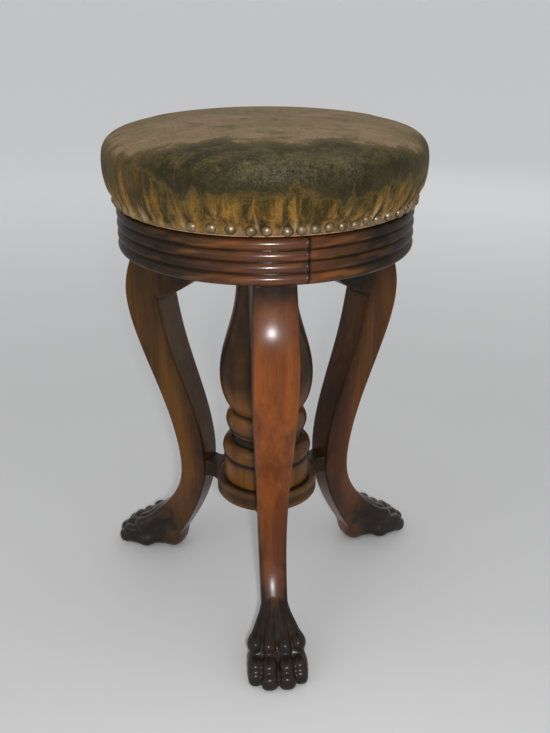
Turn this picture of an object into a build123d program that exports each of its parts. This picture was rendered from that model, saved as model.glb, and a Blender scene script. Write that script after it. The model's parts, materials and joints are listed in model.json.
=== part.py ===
"""Revolving piano stool: cabriole legs, a reeded ring, a turned column and a screw-up seat."""
import math
import os

from build123d import *

# Driving sizes in millimetres and degrees. Heights are from the floor, reaches from the stool's axis.

# Where the three legs stand round the axis
leg_turns = {"front": -90.0, "right": 30.0, "left": 150.0}

# Base disc under the column
disc_bottom = 115.0
disc_thickness = 19.5
disc_radius = 55.0
disc_edge_round = 2.5

# Turned column, its members from the bottom up
column_height = 264.5
drum_radius = 47.0
drum_height = 25.5
collar_radius = 48.0
collar_height = 21.5
collar_lip = 1.6
cove_radius = 38.0
cove_height = 9.0
bead_radius = 43.7
bead_height = 21.0
fillet_radius = 41.0
fillet_height = 3.5
waist_radius = 36.0
belly_radius = 49.3
belly_rise = 49.0
shoulder_radius = 43.5
shoulder_rise = 78.0
neck_radius = 31.3
neck_drop = 55.0
cap_radius = 42.0
cap_height = 15.0

# Reeded ring under the seat, in three jointed segments
ring_radius = 145.0
ring_height = 41.5
ring_wall = 26.0
reed_count = 4
reed_depth = 3.6
seam_turn = 11.5
platform_thickness = 18.0

# Leg seen from the side: reaches, with drops from the ring and heights above the disc or the floor
leg_setback = 7.0
knee_reach = 162.5
knee_drop = 64.0
thigh_reach = 150.0
thigh_drop = 127.0
shin_reach = 124.5
shin_rise = 91.0
calf_reach = 108.5
calf_rise = 33.0
ankle_reach = 109.0
ankle_height = 100.0
instep_reach = 130.0
instep_height = 64.0
arm_gap = 4.0
arm_end_drop = 4.0
arm_middle_reach = 83.0
arm_middle_drop = 54.0
corner_reach = 121.0
corner_drop = 73.0
inner_thigh_reach = 110.0
inner_thigh_drop = 124.0
inner_shin_reach = 86.0
inner_shin_rise = 91.0
leg_back_reach = 72.5
hock_reach = 84.0
hock_height = 76.0
heel_back_reach = 104.0
heel_back_height = 36.0
sole_reach = 122.0
sole_height = 6.0
foot_reach = 168.0
foot_front_height = 26.0

# Leg seen from the front: half widths
leg_top_half_width = 19.5
leg_thigh_half_width = 20.2
leg_shin_half_width = 17.6
leg_ankle_half_width = 13.6
paw_half_width = 12.6

# Paw: a heel ball and four toes, each with a ray from the wrist, a knuckle, a tip and a pad
toe_count = 4
toe_spacing = 14.0
wrist_gather = 0.4
wrist_reach = 137.0
wrist_height = 46.0
wrist_radius = 8.5
knuckle_gather = 0.86
knuckle_reach = 163.0
knuckle_height = 26.0
knuckle_radius = 10.5
toe_tip_reach = 197.5
toe_tip_radius = 8.6
outer_toe_setback = 5.5
pad_reach = 160.0
pad_radius = 9.2
pad_shrink = 0.6
heel_reach = 127.5
heel_radius = 16.0
paw_sink = 0.9

# Stretchers between the base disc and the legs
stretcher_half_width = 11.0
stretcher_seat_margin = 2.0

# Lifting screw, its nut and its stop
screw_radius = 12.5
thread_depth = 2.6
thread_pitch = 8.0
seat_turns = 12
crest_share = 0.24
root_share = 0.28
ridge_sink = 0.4
nut_radius = 20.0
nut_length = 40.0
flange_radius = 37.0
flange_thickness = 4.0
washer_radius = 15.0
washer_thickness = 4.0
screw_neck_radius = 8.0
screw_neck_length = 12.0
stop_pin_radius = 2.5
bore_spare = 10.0
hub_radius = 19.0
hub_gap = 3.0

# Seat
seat_gap = 1.4
board_thickness = 18.0
cover_thickness = 2.0
seat_radius = 154.8
seat_swell = 11.0
hem_height = 11.5
seat_widest_rise = 47.0
seat_height = 80.5
shoulder_round = 20.0
plate_thickness = 5.0
plate_arm_reach = 88.0
plate_arm_half_width = 13.0

# Dome nails round the hem, in runs that differ in spacing; the stretch after the last run has lost its nails
nail_run_turns = (241.1, 267.0, 274.0, 314.8)
nail_step_turns = (7.0, 7.0, 4.87, 6.7)
nail_run_counts = (4, 1, 8, 37)
nail_head_radius = 4.8
nail_head_height = 3.0
nail_shank_radius = 0.9
nail_length = 11.0
nail_rise = 6.5

# Dowels and wood screws
dowel_radius = 4.0
ring_dowel_length = 34.0
ring_dowel_inset = 11.0
stretcher_dowel_depth = 16.0
screw_shank_radius = 2.2
screw_head_radius = 4.4
leg_screw_length = 46.0
leg_screw_margin = 15.0
leg_screw_spacing = 36.0
disc_screw_length = 42.0
disc_screw_reach = 30.0
nut_screw_length = 15.0
nut_screw_reach = 28.5
plate_screw_length = 18.0
plate_screw_reaches = (42.0, 76.0)

# Clearances
glue_gap = 0.1
fit_gap = 0.05
running_gap = 0.3
thread_gap = 0.4
stop_gap = 1.0

# Heights and places that follow from the sizes above
disc_top = disc_bottom + disc_thickness
ring_bottom = disc_top + column_height
ring_top = ring_bottom + ring_height
ring_inner_radius = ring_radius - ring_wall
platform_top = ring_bottom + platform_thickness
nut_bottom = platform_top - nut_length
flange_top = platform_top + flange_thickness
seat_travel = thread_pitch * seat_turns
washer_top = nut_bottom - stop_gap - seat_travel
washer_bottom = washer_top - washer_thickness
screw_bottom = washer_top - screw_neck_length
thread_root_radius = screw_radius - thread_depth
seat_bottom = ring_top + seat_gap
plate_bottom = seat_bottom - plate_thickness
hub_bottom = flange_top + hub_gap
board_top = seat_bottom + board_thickness
hem_radius = seat_radius - seat_swell
board_radius = hem_radius - cover_thickness - running_gap
dowel_height = disc_bottom + disc_thickness / 2
bore_radius = washer_radius + running_gap
bore_bottom = screw_bottom - bore_spare
leg_screw_outer_reach = ring_inner_radius - leg_screw_margin
leg_screw_reaches = (leg_screw_outer_reach - leg_screw_spacing, leg_screw_outer_reach)
third = 360.0 / len(leg_turns)


def turned(outline):
    """A solid turned about the stool's axis from a closed outline of edges in reach and height."""
    return revolve(Plane.XZ * make_face(outline), Axis.Z)


def rod(radius, start, end):
    """A round bar from one point to another."""
    path = Vector(*end) - Vector(*start)
    base = Plane(origin=start, z_dir=path)
    return base * Cylinder(radius, path.length, align=(Align.CENTER, Align.CENTER, Align.MIN))


def drum_at(radius, low, high):
    """An upright round block on the stool's axis."""
    return rod(radius, (0, 0, low), (0, 0, high))


def round_the_axis(shape, turns):
    """Copies of a shape, turned about the stool's axis."""
    return [Rot(0, 0, turn) * shape for turn in turns]


def without(shape, cutters):
    """A shape with each of the cutters taken away."""
    return shape.cut(*cutters) if cutters else shape


def wood_screw(length, gap=0.0):
    """A countersunk wood screw pointing down, its head's top at the origin, or the room it needs."""
    shank = screw_shank_radius + gap
    head = screw_head_radius + gap
    outline = Polyline(
        (0, 0),
        (head, 0),
        (shank, shank - head),
        (shank, 2 * shank - length - gap),
        (0, -length - gap),
        close=True,
    )
    return turned(outline.edges())


def tapered_capsule(start, end, start_radius, end_radius):
    """Two balls and the cone that wraps them."""
    path = Vector(*end) - Vector(*start)
    lean = math.asin((start_radius - end_radius) / path.length)
    across = math.cos(lean)
    along = math.sin(lean)
    cone_start = (start_radius * across, start_radius * along)
    cone_end = (end_radius * across, path.length + end_radius * along)
    outline = [
        CenterArc((0, 0), start_radius, -90, 90 + math.degrees(lean)),
        Line(cone_start, cone_end),
        CenterArc((0, path.length), end_radius, math.degrees(lean), 90 - math.degrees(lean)),
        Line((0, path.length + end_radius), (0, -start_radius)),
    ]
    return Plane(origin=start, z_dir=path) * turned(outline)


def thread_bar(gap, low, high):
    """A right-hand threaded bar, grown by gap: a plain core and a ridge of helical strips."""
    core = thread_root_radius + gap
    crest = screw_radius + gap
    foot = core - ridge_sink
    crest_half = crest_share * thread_pitch / 2 + gap
    root_half = (1 - root_share) * thread_pitch / 2 + gap
    foot_half = root_half + ridge_sink * (root_half - crest_half) / thread_depth
    corners = [(crest, -crest_half), (crest, crest_half), (foot, foot_half), (foot, -foot_half)]
    helices = []
    for radius, rise in corners:
        helices.append(Pos(0, 0, rise) * Edge.make_helix(thread_pitch, thread_pitch, radius))
    strips = [Face.make_surface_from_curves(helices[i - 1], helices[i]) for i in range(len(helices))]
    ridge_turns = int((high - low - 2 * foot_half) / thread_pitch)
    faces = [Pos(0, 0, turn * thread_pitch) * strip for turn in range(ridge_turns) for strip in strips]
    last_turn = Vector(0, 0, (ridge_turns - 1) * thread_pitch)
    faces.append(Face(Wire.make_polygon([helix @ 0 for helix in helices])))
    faces.append(Face(Wire.make_polygon([helix @ 1 + last_turn for helix in helices])))
    ridge = Solid(Shell(Face.sew_faces(faces)[0]))
    start = low + foot_half
    return drum_at(core, low, high) + Pos(0, 0, start) * Rot(0, 0, 360 * start / thread_pitch) * ridge


def leg_side():
    """The leg's outline from the side, in reach and height, as a board of the sawn shape."""
    outer_top = (ring_radius - leg_setback, ring_bottom)
    arm_top = (cap_radius + arm_gap, ring_bottom)
    arm_end = (cap_radius + arm_gap, ring_bottom - arm_end_drop)
    corner = (corner_reach, ring_bottom - corner_drop)
    seat_high = (leg_back_reach, disc_top + stretcher_seat_margin)
    seat_low = (leg_back_reach, disc_bottom - stretcher_seat_margin)
    toe_top = (foot_reach, foot_front_height)
    front = Spline(
        outer_top,
        (knee_reach, ring_bottom - knee_drop),
        (thigh_reach, ring_bottom - thigh_drop),
        (shin_reach, disc_bottom + shin_rise),
        (calf_reach, disc_bottom + calf_rise),
        (ankle_reach, ankle_height),
        (instep_reach, instep_height),
        toe_top,
    )
    back = Spline(
        corner,
        (inner_thigh_reach, ring_bottom - inner_thigh_drop),
        (inner_shin_reach, disc_bottom + inner_shin_rise),
        seat_high,
        tangents=[(-1, -6), (0, -1)],
    )
    heel_end = (sole_reach, sole_height)
    heel = Spline(seat_low, (hock_reach, hock_height), (heel_back_reach, heel_back_height), heel_end)
    arm = ThreePointArc(arm_end, (arm_middle_reach, ring_bottom - arm_middle_drop), corner)
    outline = [
        front,
        Line(toe_top, (foot_reach, sole_height)),
        Line((foot_reach, sole_height), heel_end),
        heel,
        Line(seat_low, seat_high),
        back,
        arm,
        Line(arm_end, arm_top),
        Line(arm_top, outer_top),
    ]
    return extrude(Plane.XZ * make_face(outline), knee_reach, both=True)


def leg_front():
    """The leg's outline from the front, in half width and height, run through the whole leg."""
    edge = [
        (leg_top_half_width, ring_bottom),
        (leg_thigh_half_width, ring_bottom - thigh_drop),
        (leg_shin_half_width, disc_bottom + shin_rise),
        (leg_ankle_half_width, hock_height),
        (paw_half_width, 0),
    ]
    right = Spline(*edge)
    left = Spline(*[(-half_width, height) for half_width, height in edge])
    outline = [right, left, Line(right @ 0, left @ 0), Line(right @ 1, left @ 1)]
    return extrude(Plane.YZ * make_face(outline), knee_reach + foot_reach)


def toe(number):
    """One toe's ray, knuckle to tip, and pad."""
    aside = (number - (toe_count - 1) / 2) * toe_spacing
    setback = outer_toe_setback if number in (0, toe_count - 1) else 0.0
    wrist = (wrist_reach, aside * wrist_gather, wrist_height)
    knuckle = (knuckle_reach - setback, aside * knuckle_gather, knuckle_height)
    tip = (toe_tip_reach - toe_tip_radius - setback, aside, toe_tip_radius - paw_sink)
    pad = (pad_reach - setback, aside * knuckle_gather, pad_radius - paw_sink)
    return [
        tapered_capsule(knuckle, wrist, knuckle_radius - pad_shrink, wrist_radius),
        tapered_capsule(knuckle, tip, knuckle_radius, toe_tip_radius),
        tapered_capsule(pad, tip, pad_radius, toe_tip_radius - pad_shrink),
    ]


def leg_shape():
    """One cabriole leg with its inward arm and its paw, pointing along +X."""
    shaft = leg_side() & leg_front()
    heel = Pos(heel_reach, 0, heel_radius - paw_sink) * Sphere(heel_radius)
    toes = [piece for number in range(toe_count) for piece in toe(number)]
    paw = shaft.fuse(heel, *toes)
    below_floor = Pos(foot_reach, 0, -heel_radius) * Box(2 * foot_reach, 2 * foot_reach, 2 * heel_radius)
    return without(paw, [below_floor, *leg_screw_rooms(), stretcher_dowel(fit_gap)])


def leg_screw_rooms():
    """Room for one leg's screws, which are driven down through the platform."""
    screw = wood_screw(leg_screw_length, fit_gap)
    return [Pos(reach, 0, platform_top) * screw for reach in leg_screw_reaches]


def leg_screws():
    """All the screws that hold the legs to the platform."""
    screw = wood_screw(leg_screw_length)
    one_leg = [Pos(reach, 0, platform_top) * screw for reach in leg_screw_reaches]
    return [copy for made in one_leg for copy in round_the_axis(made, leg_turns.values())]


def stretcher_dowel(gap=0.0):
    """The dowel that runs from the base disc through a stretcher into its leg, along +X."""
    inner_end = disc_radius - stretcher_dowel_depth - gap
    outer_end = leg_back_reach + stretcher_dowel_depth + gap
    return rod(dowel_radius + gap, (inner_end, 0, dowel_height), (outer_end, 0, dowel_height))


def stretcher():
    """A short block from the base disc to the back of a leg, as thick as the disc."""
    width = 2 * stretcher_half_width
    block = Box(leg_back_reach, width, disc_thickness, align=(Align.MIN, Align.CENTER, Align.MIN))
    room = [drum_at(disc_radius + glue_gap, disc_bottom, disc_top), stretcher_dowel(fit_gap)]
    return without(Pos(0, 0, disc_bottom) * block, room)


def base_disc():
    """The round board under the column."""
    disc = drum_at(disc_radius, disc_bottom, disc_top)
    disc = fillet(disc.edges(), disc_edge_round)
    dowels = round_the_axis(stretcher_dowel(fit_gap), leg_turns.values())
    return without(disc, dowels + disc_screws(fit_gap))


def disc_screws(gap=0.0):
    """Screws up through the base disc into the column, between the stretchers."""
    screw = Pos(disc_screw_reach, 0, disc_bottom) * Rot(180, 0, 0) * wood_screw(disc_screw_length, gap)
    return round_the_axis(screw, [turn + third / 2 for turn in leg_turns.values()])


def column():
    """The turned column, bored from the top for the lifting screw and its nut."""
    drum_top = disc_top + drum_height
    collar_top = drum_top + collar_height
    bead_bottom = collar_top + cove_height
    fillet_top = bead_bottom + fillet_height
    waist = fillet_top + bead_height
    belly = waist + belly_rise
    shoulder = waist + shoulder_rise
    neck = ring_bottom - neck_drop
    cap_bottom = ring_bottom - cap_height
    collar_middle = drum_top + collar_lip + (collar_height - collar_lip) / 3
    belly_curve = Spline(
        (waist_radius, waist),
        (belly_radius, belly),
        (shoulder_radius, shoulder),
        (neck_radius, neck),
        (cap_radius, cap_bottom),
        tangents=[(1, 1), (1, 0.5)],
    )
    outline = [
        Line((0, disc_top), (drum_radius, disc_top)),
        Line((drum_radius, disc_top), (drum_radius, drum_top)),
        Line((drum_radius, drum_top), (drum_radius - collar_lip, drum_top)),
        Line((drum_radius - collar_lip, drum_top), (drum_radius - collar_lip, drum_top + collar_lip)),
        ThreePointArc(
            (drum_radius - collar_lip, drum_top + collar_lip),
            (collar_radius, collar_middle),
            (cove_radius, collar_top),
        ),
        ThreePointArc(
            (cove_radius, collar_top),
            (cove_radius - collar_lip, collar_top + cove_height / 2),
            (cove_radius, bead_bottom),
        ),
        Line((cove_radius, bead_bottom), (fillet_radius, bead_bottom)),
        Line((fillet_radius, bead_bottom), (fillet_radius, fillet_top)),
        ThreePointArc(
            (fillet_radius, fillet_top),
            (bead_radius, fillet_top + bead_height / 2),
            (waist_radius, waist),
        ),
        belly_curve,
        Line((cap_radius, cap_bottom), (cap_radius, ring_bottom)),
        Line((cap_radius, ring_bottom), (0, ring_bottom)),
        Line((0, ring_bottom), (0, disc_top)),
    ]
    room = [
        drum_at(bore_radius, bore_bottom, ring_bottom),
        drum_at(nut_radius + fit_gap, nut_bottom - fit_gap, ring_bottom),
    ]
    return without(turned(outline), room + disc_screws(fit_gap))


def reed_outline():
    """Cross-section of the ring: a flat board's edge with convex reeds outside."""
    reed_height = ring_height / reed_count
    groove = ring_radius - reed_depth
    reeds = []
    for number in range(reed_count):
        low = ring_bottom + number * reed_height
        middle = (ring_radius, low + reed_height / 2)
        reeds.append(ThreePointArc((groove, low), middle, (groove, low + reed_height)))
    inside = Polyline(
        (groove, ring_top),
        (ring_inner_radius, ring_top),
        (ring_inner_radius, ring_bottom),
        (groove, ring_bottom),
    )
    return reeds + list(inside.edges())


def ring_dowels(turn, gap=0.0):
    """The two dowels across the ring's joint at a turn."""
    reach = ring_inner_radius + (ring_wall - reed_depth) / 2
    half = ring_dowel_length / 2 + gap
    heights = (ring_bottom + ring_dowel_inset, ring_top - ring_dowel_inset)
    bars = [rod(dowel_radius + gap, (reach, -half, height), (reach, half, height)) for height in heights]
    return [Rot(0, 0, turn) * bar for bar in bars]


def ring_segment(start):
    """One third of the ring, from one joint to the next, drilled for the dowels at both ends."""
    section = Rot(0, 0, start) * (Plane.XZ * make_face(reed_outline()))
    segment = revolve(section, Axis.Z, third)
    return without(segment, ring_dowels(start, fit_gap) + ring_dowels(start + third, fit_gap))


def top_platform():
    """The round board inside the ring that the legs and the nut are screwed to."""
    board = drum_at(ring_inner_radius - glue_gap, ring_bottom, platform_top)
    hole = drum_at(nut_radius + fit_gap, ring_bottom, platform_top)
    legs = [copy for room in leg_screw_rooms() for copy in round_the_axis(room, leg_turns.values())]
    return without(board, [hole] + legs + nut_screws(fit_gap))


def nut_screws(gap=0.0):
    """Screws down through the nut's flange into the platform, between the legs."""
    screw = Pos(nut_screw_reach, 0, flange_top) * wood_screw(nut_screw_length, gap)
    return round_the_axis(screw, [turn + third / 2 for turn in leg_turns.values()])


def screw_nut():
    """The flanged iron nut that the lifting screw turns in."""
    barrel = drum_at(nut_radius, nut_bottom, platform_top)
    flange = drum_at(flange_radius, platform_top, flange_top)
    hole = thread_bar(thread_gap, nut_bottom - 2 * thread_pitch, flange_top + 2 * thread_pitch)
    return without(barrel + flange, [hole] + nut_screws(fit_gap))


def lift_screw():
    """The iron screw under the seat: a plain head in the seat plate and a plain neck for its stop."""
    neck_top = washer_top + running_gap
    thread = thread_bar(0.0, neck_top, hub_bottom)
    neck = drum_at(screw_neck_radius, screw_bottom, neck_top)
    head = drum_at(thread_root_radius, hub_bottom, seat_bottom)
    return without(neck + thread + head, [stop_pin(fit_gap)])


def stop_washer():
    """The loose washer that meets the nut when the seat is at its highest."""
    return drum_at(washer_radius, washer_bottom, washer_top) - drum_at(
        screw_neck_radius + running_gap, washer_bottom, washer_top
    )


def stop_pin(gap=0.0):
    """The cross pin that keeps the washer on the screw."""
    height = washer_bottom - running_gap - stop_pin_radius
    half = washer_radius - stop_pin_radius + gap
    return rod(stop_pin_radius + gap, (-half, 0, height), (half, 0, height))


def seat_plate():
    """The three-armed iron plate that joins the screw to the seat board."""
    width = 2 * plate_arm_half_width
    bar = Box(plate_arm_reach, width, plate_thickness, align=(Align.MIN, Align.CENTER, Align.MIN))
    tip = rod(plate_arm_half_width, (plate_arm_reach, 0, 0), (plate_arm_reach, 0, plate_thickness))
    arm = Pos(0, 0, plate_bottom) * (bar + tip)
    hub = drum_at(hub_radius, hub_bottom, seat_bottom)
    body = hub.fuse(*round_the_axis(arm, leg_turns.values()))
    hole = drum_at(thread_root_radius + fit_gap, hub_bottom, seat_bottom)
    return without(body, [hole] + plate_screws(fit_gap))


def plate_screws(gap=0.0):
    """Screws up through the seat plate's arms into the seat board."""
    screw = Rot(180, 0, 0) * wood_screw(plate_screw_length, gap)
    one_arm = [Pos(reach, 0, plate_bottom) * screw for reach in plate_screw_reaches]
    return [copy for made in one_arm for copy in round_the_axis(made, leg_turns.values())]


def cushion(inset, low):
    """The crowned seat with drawn-in sides, set in from its cover's outside and cut off level below."""
    hem_top = seat_bottom + hem_height
    widest = seat_bottom + seat_widest_rise
    crown_top = seat_bottom + seat_height
    rise = widest - hem_top
    side_radius = (seat_swell**2 + rise**2) / (2 * seat_swell)
    side_centre = seat_radius - side_radius
    shoulder_reach = seat_radius - shoulder_round
    depth = crown_top - widest
    crown_radius = (shoulder_reach**2 + depth**2 - shoulder_round**2) / (2 * (depth - shoulder_round))
    crown_centre = crown_top - crown_radius
    lean = math.degrees(math.atan2(widest - crown_centre, shoulder_reach))
    drop = math.degrees(math.asin(rise / side_radius))
    side = CenterArc((side_centre, widest), side_radius - inset, -drop, drop)
    hem = Line((hem_radius - inset, seat_bottom), side @ 0)
    shoulder = CenterArc((shoulder_reach, widest), shoulder_round - inset, 0, lean)
    crown = CenterArc((0, crown_centre), crown_radius - inset, lean, 90 - lean)
    foot = Line((0, seat_bottom), (hem_radius - inset, seat_bottom))
    axis = Line(crown @ 1, (0, seat_bottom))
    whole = turned([foot, hem, side, shoulder, crown, axis])
    return whole - drum_at(2 * seat_radius, seat_bottom - seat_height, low)


def seat_cover():
    """The velvet cover over the stuffing, down to its nailed hem."""
    shell = cushion(0, seat_bottom) - cushion(cover_thickness, seat_bottom)
    return without(shell, cover_nail_shanks(fit_gap))


def seat_stuffing():
    """The stuffing between the seat board and the cover."""
    return cushion(cover_thickness + running_gap, board_top)


def seat_board():
    """The round board that the seat is stuffed on."""
    board = drum_at(board_radius, seat_bottom, board_top)
    return without(board, cover_nail_shanks(fit_gap) + plate_screws(fit_gap))


def nail_turns():
    """Turns of the nails that are left."""
    runs = zip(nail_run_turns, nail_step_turns, nail_run_counts)
    return [first + number * step for first, step, count in runs for number in range(count)]


def cover_nail_shanks(gap=0.0):
    """The nails' shanks, driven straight in towards the axis."""
    height = seat_bottom + nail_rise
    tip = (hem_radius - nail_length - gap, 0, height)
    shank = rod(nail_shank_radius + gap, tip, (hem_radius, 0, height))
    return round_the_axis(shank, nail_turns())


def cover_nails():
    """Dome-headed nails round the hem."""
    height = seat_bottom + nail_rise
    dome_radius = (nail_head_radius**2 + nail_head_height**2) / (2 * nail_head_height)
    spread = math.degrees(math.asin(nail_head_radius / dome_radius))
    outline = [
        Line((0, -nail_length), (nail_shank_radius, -nail_length)),
        Line((nail_shank_radius, -nail_length), (nail_shank_radius, 0)),
        Line((nail_shank_radius, 0), (nail_head_radius, 0)),
        CenterArc((0, nail_head_height - dome_radius), dome_radius, 90 - spread, spread),
        Line((0, nail_head_height), (0, -nail_length)),
    ]
    nail = Plane(origin=(hem_radius, 0, height), z_dir=(1, 0, 0)) * turned(outline)
    return round_the_axis(nail, nail_turns())


def all_nodes():
    """Every piece of the stool under its own name."""
    seams = {"right": leg_turns["front"], "back": leg_turns["right"], "left": leg_turns["left"]}
    nodes = {}
    leg = leg_shape()
    block = stretcher()
    for name, turn in leg_turns.items():
        nodes["leg_" + name] = Rot(0, 0, turn) * leg
        nodes["stretcher_" + name] = Rot(0, 0, turn) * block
    for name, turn in seams.items():
        nodes["apron_segment_" + name] = ring_segment(turn + seam_turn)
    nodes["apron_dowels"] = [bar for turn in seams.values() for bar in ring_dowels(turn + seam_turn)]
    nodes["stretcher_dowels"] = round_the_axis(stretcher_dowel(), leg_turns.values())
    nodes["top_platform"] = top_platform()
    nodes["leg_screws"] = leg_screws()
    nodes["column"] = column()
    nodes["base_disc"] = base_disc()
    nodes["disc_screws"] = disc_screws()
    nodes["screw_nut"] = screw_nut()
    nodes["nut_screws"] = nut_screws()
    nodes["stop_washer"] = stop_washer()
    nodes["lift_screw"] = lift_screw()
    nodes["stop_pin"] = stop_pin()
    nodes["seat_plate"] = seat_plate()
    nodes["plate_screws"] = plate_screws()
    nodes["seat_board"] = seat_board()
    nodes["seat_stuffing"] = seat_stuffing()
    nodes["seat_cover"] = seat_cover()
    nodes["cover_nails"] = cover_nails()
    return nodes


os.makedirs("parts", exist_ok=True)
for name, shape in all_nodes().items():
    solids = shape if isinstance(shape, list) else [shape]
    pieces = [solid for made in solids for solid in made.solids()]
    export_step(pieces[0] if len(pieces) == 1 else Compound(children=pieces), f"parts/{name}.step")
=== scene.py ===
"""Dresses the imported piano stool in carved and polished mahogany, gathered velvet and dome nails."""
import json
import math
from functools import partial

import bpy
import numpy as np
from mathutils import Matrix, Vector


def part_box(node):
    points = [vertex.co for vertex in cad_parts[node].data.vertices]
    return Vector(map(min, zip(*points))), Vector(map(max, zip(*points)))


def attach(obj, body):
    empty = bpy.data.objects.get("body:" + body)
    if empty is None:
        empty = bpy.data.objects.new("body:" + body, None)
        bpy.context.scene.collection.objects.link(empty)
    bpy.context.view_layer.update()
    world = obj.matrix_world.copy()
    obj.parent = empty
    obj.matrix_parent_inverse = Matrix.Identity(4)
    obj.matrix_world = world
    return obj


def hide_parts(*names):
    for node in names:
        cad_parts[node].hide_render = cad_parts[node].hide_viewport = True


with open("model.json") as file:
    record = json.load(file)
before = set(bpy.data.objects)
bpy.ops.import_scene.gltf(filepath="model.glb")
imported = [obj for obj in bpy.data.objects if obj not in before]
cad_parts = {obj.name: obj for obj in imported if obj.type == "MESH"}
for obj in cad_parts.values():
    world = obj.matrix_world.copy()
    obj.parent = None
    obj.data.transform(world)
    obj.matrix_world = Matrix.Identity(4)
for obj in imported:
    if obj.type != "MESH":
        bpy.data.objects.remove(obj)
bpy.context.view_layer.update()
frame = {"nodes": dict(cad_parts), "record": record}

# Sizes are in millimetres and degrees, and each mesh is scaled to metres when it is made
mm = 0.001
scene = bpy.context.scene


def heights_of(node):
    """A node's lowest and highest points in millimetres."""
    low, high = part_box(node)
    return low[2] / mm, high[2] / mm


# Heights that come from the frame
disc_bottom, disc_top = heights_of("base_disc")
ring_bottom = heights_of("column")[1]
ring_top = heights_of("apron_segment_back")[1]
seat_bottom = heights_of("seat_cover")[0]

# The legs' turns about the stool's axis
leg_turns = {"front": -90, "right": 30, "left": 150}

# Leg seen from the side, as reaches from the axis and heights above the floor
leg_front_line = [
    (138, ring_bottom), (162.5, 335), (150, 272), (124.5, 206),
    (108.5, 148), (109, 100), (130, 64), (168, 26),
]
leg_heel_line = [(122, 6), (104, 36), (84, 76), (72.5, 113)]
leg_back_line = [(121, 326), (110, 275), (86, 206), (72.5, 136.5)]
leg_back_ends = ((-1, -6), (0, -1))
leg_arm_line = [(121, 326), (83, ring_bottom - 54), (46, ring_bottom - 4)]
sole_height = 6

# Leg seen from the front, as half widths at heights
leg_half_widths = [(0, 12.6), (76, 13.6), (206, 17.6), (272, 20.2), (ring_bottom, 19.5)]
leg_edge_round = 2.6
leg_crown = 1.7
leg_cell = 1.25

# Paw: each toe's offset to the side and half width, then its wrist, knuckle, joint and claw
# as (reach, height)
inner_toe = (8.7, 8.9, (132, 50), (161, 26.5), (177.5, 13.6), (189.6, 7.8))
outer_toe = (22.2, 7.7, (130, 47), (158.5, 28), (173.5, 12.6), (182.6, 7.6))
# Shares of the offset to the side at the wrist, knuckle, joint and claw
toe_gathers = (0.3, 0.96, 1, 1)
# A knuckle, joint and claw: radius along, what the radius across adds to the toe's half width,
# radius up, power of the roundness and fillet
toe_balls = ((11, 0.1, 9.6, 2.0, 3), (12.4, 0.4, 11, 2.7, 4), (8.2, -0.2, 8.4, 2.7, 2.6))
toe_ray_radius = 7.8
# Webs between toes, as offset to the side, reach and end radius
toe_gaps = ((0, 188.5, 5.6), (15.4, 180.5, 5.4))
# Carved lines, as offsets to the side at three reaches
toe_line_reaches = (126, 156, 190)
toe_lines = ((0, 0, 0), (4.4, 13.4, 15.6), (-4.4, -13.4, -15.6))
toe_line_depth = 1.1
toe_line_width = 1.35
toe_melt = 1.6
ray_melt = 5
ankle_melt = 7
paw_top = 82
heel_reach = 127.5
heel_radius = 15.8
floor_sink = 0.6

# Ring: its radii, the count and depth of its reeds and the waves of its figure, as radians along a
# radian of the ring and radians up a millimetre
ring_outer = 145
ring_inner = 119
reed_count = 4
reed_depth = 3.6
ring_wisps = ((5, 0.24), (9, -0.43), (13, 0.62), (23, -0.71))

# Seat: the cover's half outline as (radius, height above its bottom)
cover_line = [
    (144.6, 0.6), (144.8, 6), (147.4, 11.5), (150.2, 17), (152.6, 24), (154.4, 33), (155.2, 44),
    (154.2, 53), (150.4, 59.6), (143.6, 64.6), (130, 68.8), (100, 73.4), (62, 77.8), (28, 80), (0, 80.5),
]
seat_radius = 155
hem_radius = 143.8
swell_inset = 1.6
swell_cell = 5
swell_frames = 20
swell_pressure = 4
swell_growth = 0.02
swell_rise = 2
swell_sink = 0.6
swell_smoothing = 8
fill_margin = 0.3
fill_softness = 1.2
held_height = 9
fold_count = 64

# Nails: runs of them as first turn, step and count, and the step of the gathers where they are lost
nail_runs = [(241.1, 7, 4), (267, 7, 1), (274, 4.87, 8), (314.8, 6.7, 37)]
nail_turns = [first + step * number for first, step, count in nail_runs for number in range(count)]
lost_nail_step = 5.2
nail_rise = 6.5
nail_proud = 1.5

# The corners of a grid's cell, and its edges, each as its first corner and its axis
cell_corners = [(i, j, k) for i in (0, 1) for j in (0, 1) for k in (0, 1)]
cell_edges = [(corner, axis) for corner in cell_corners for axis in range(3) if not corner[axis]]


def smooth_line(points, steps, start=None, end=None):
    """Points along a smooth cubic through others, which can start and end in given directions."""
    knots = np.array(points, float)
    spans = np.linalg.norm(np.diff(knots, axis=0), axis=1)
    along = np.r_[0, np.cumsum(spans)]
    count = len(knots)
    system = np.eye(count)
    right = np.zeros(knots.shape)
    slopes = np.diff(knots, axis=0) / spans[:, None]
    for i in range(1, count - 1):
        system[i, i - 1:i + 2] = spans[i - 1], 2 * (spans[i - 1] + spans[i]), spans[i]
        right[i] = 6 * (slopes[i] - slopes[i - 1])
    if start:
        system[0, :2] = 2 * spans[0], spans[0]
        right[0] = 6 * (slopes[0] - np.array(start) / np.linalg.norm(start))
    if end:
        system[-1, -2:] = spans[-1], 2 * spans[-1]
        right[-1] = 6 * (np.array(end) / np.linalg.norm(end) - slopes[-1])
    bend = np.linalg.solve(system, right)
    place = np.linspace(0, along[-1], steps)
    i = np.clip(np.searchsorted(along, place, side="right") - 1, 0, count - 2)
    span = spans[i][:, None]
    after = (place - along[i])[:, None] / span
    before = 1 - after
    sag = (before**3 - before) * bend[i] + (after**3 - after) * bend[i + 1]
    return before * knots[i] + after * knots[i + 1] + sag * span**2 / 6


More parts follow.
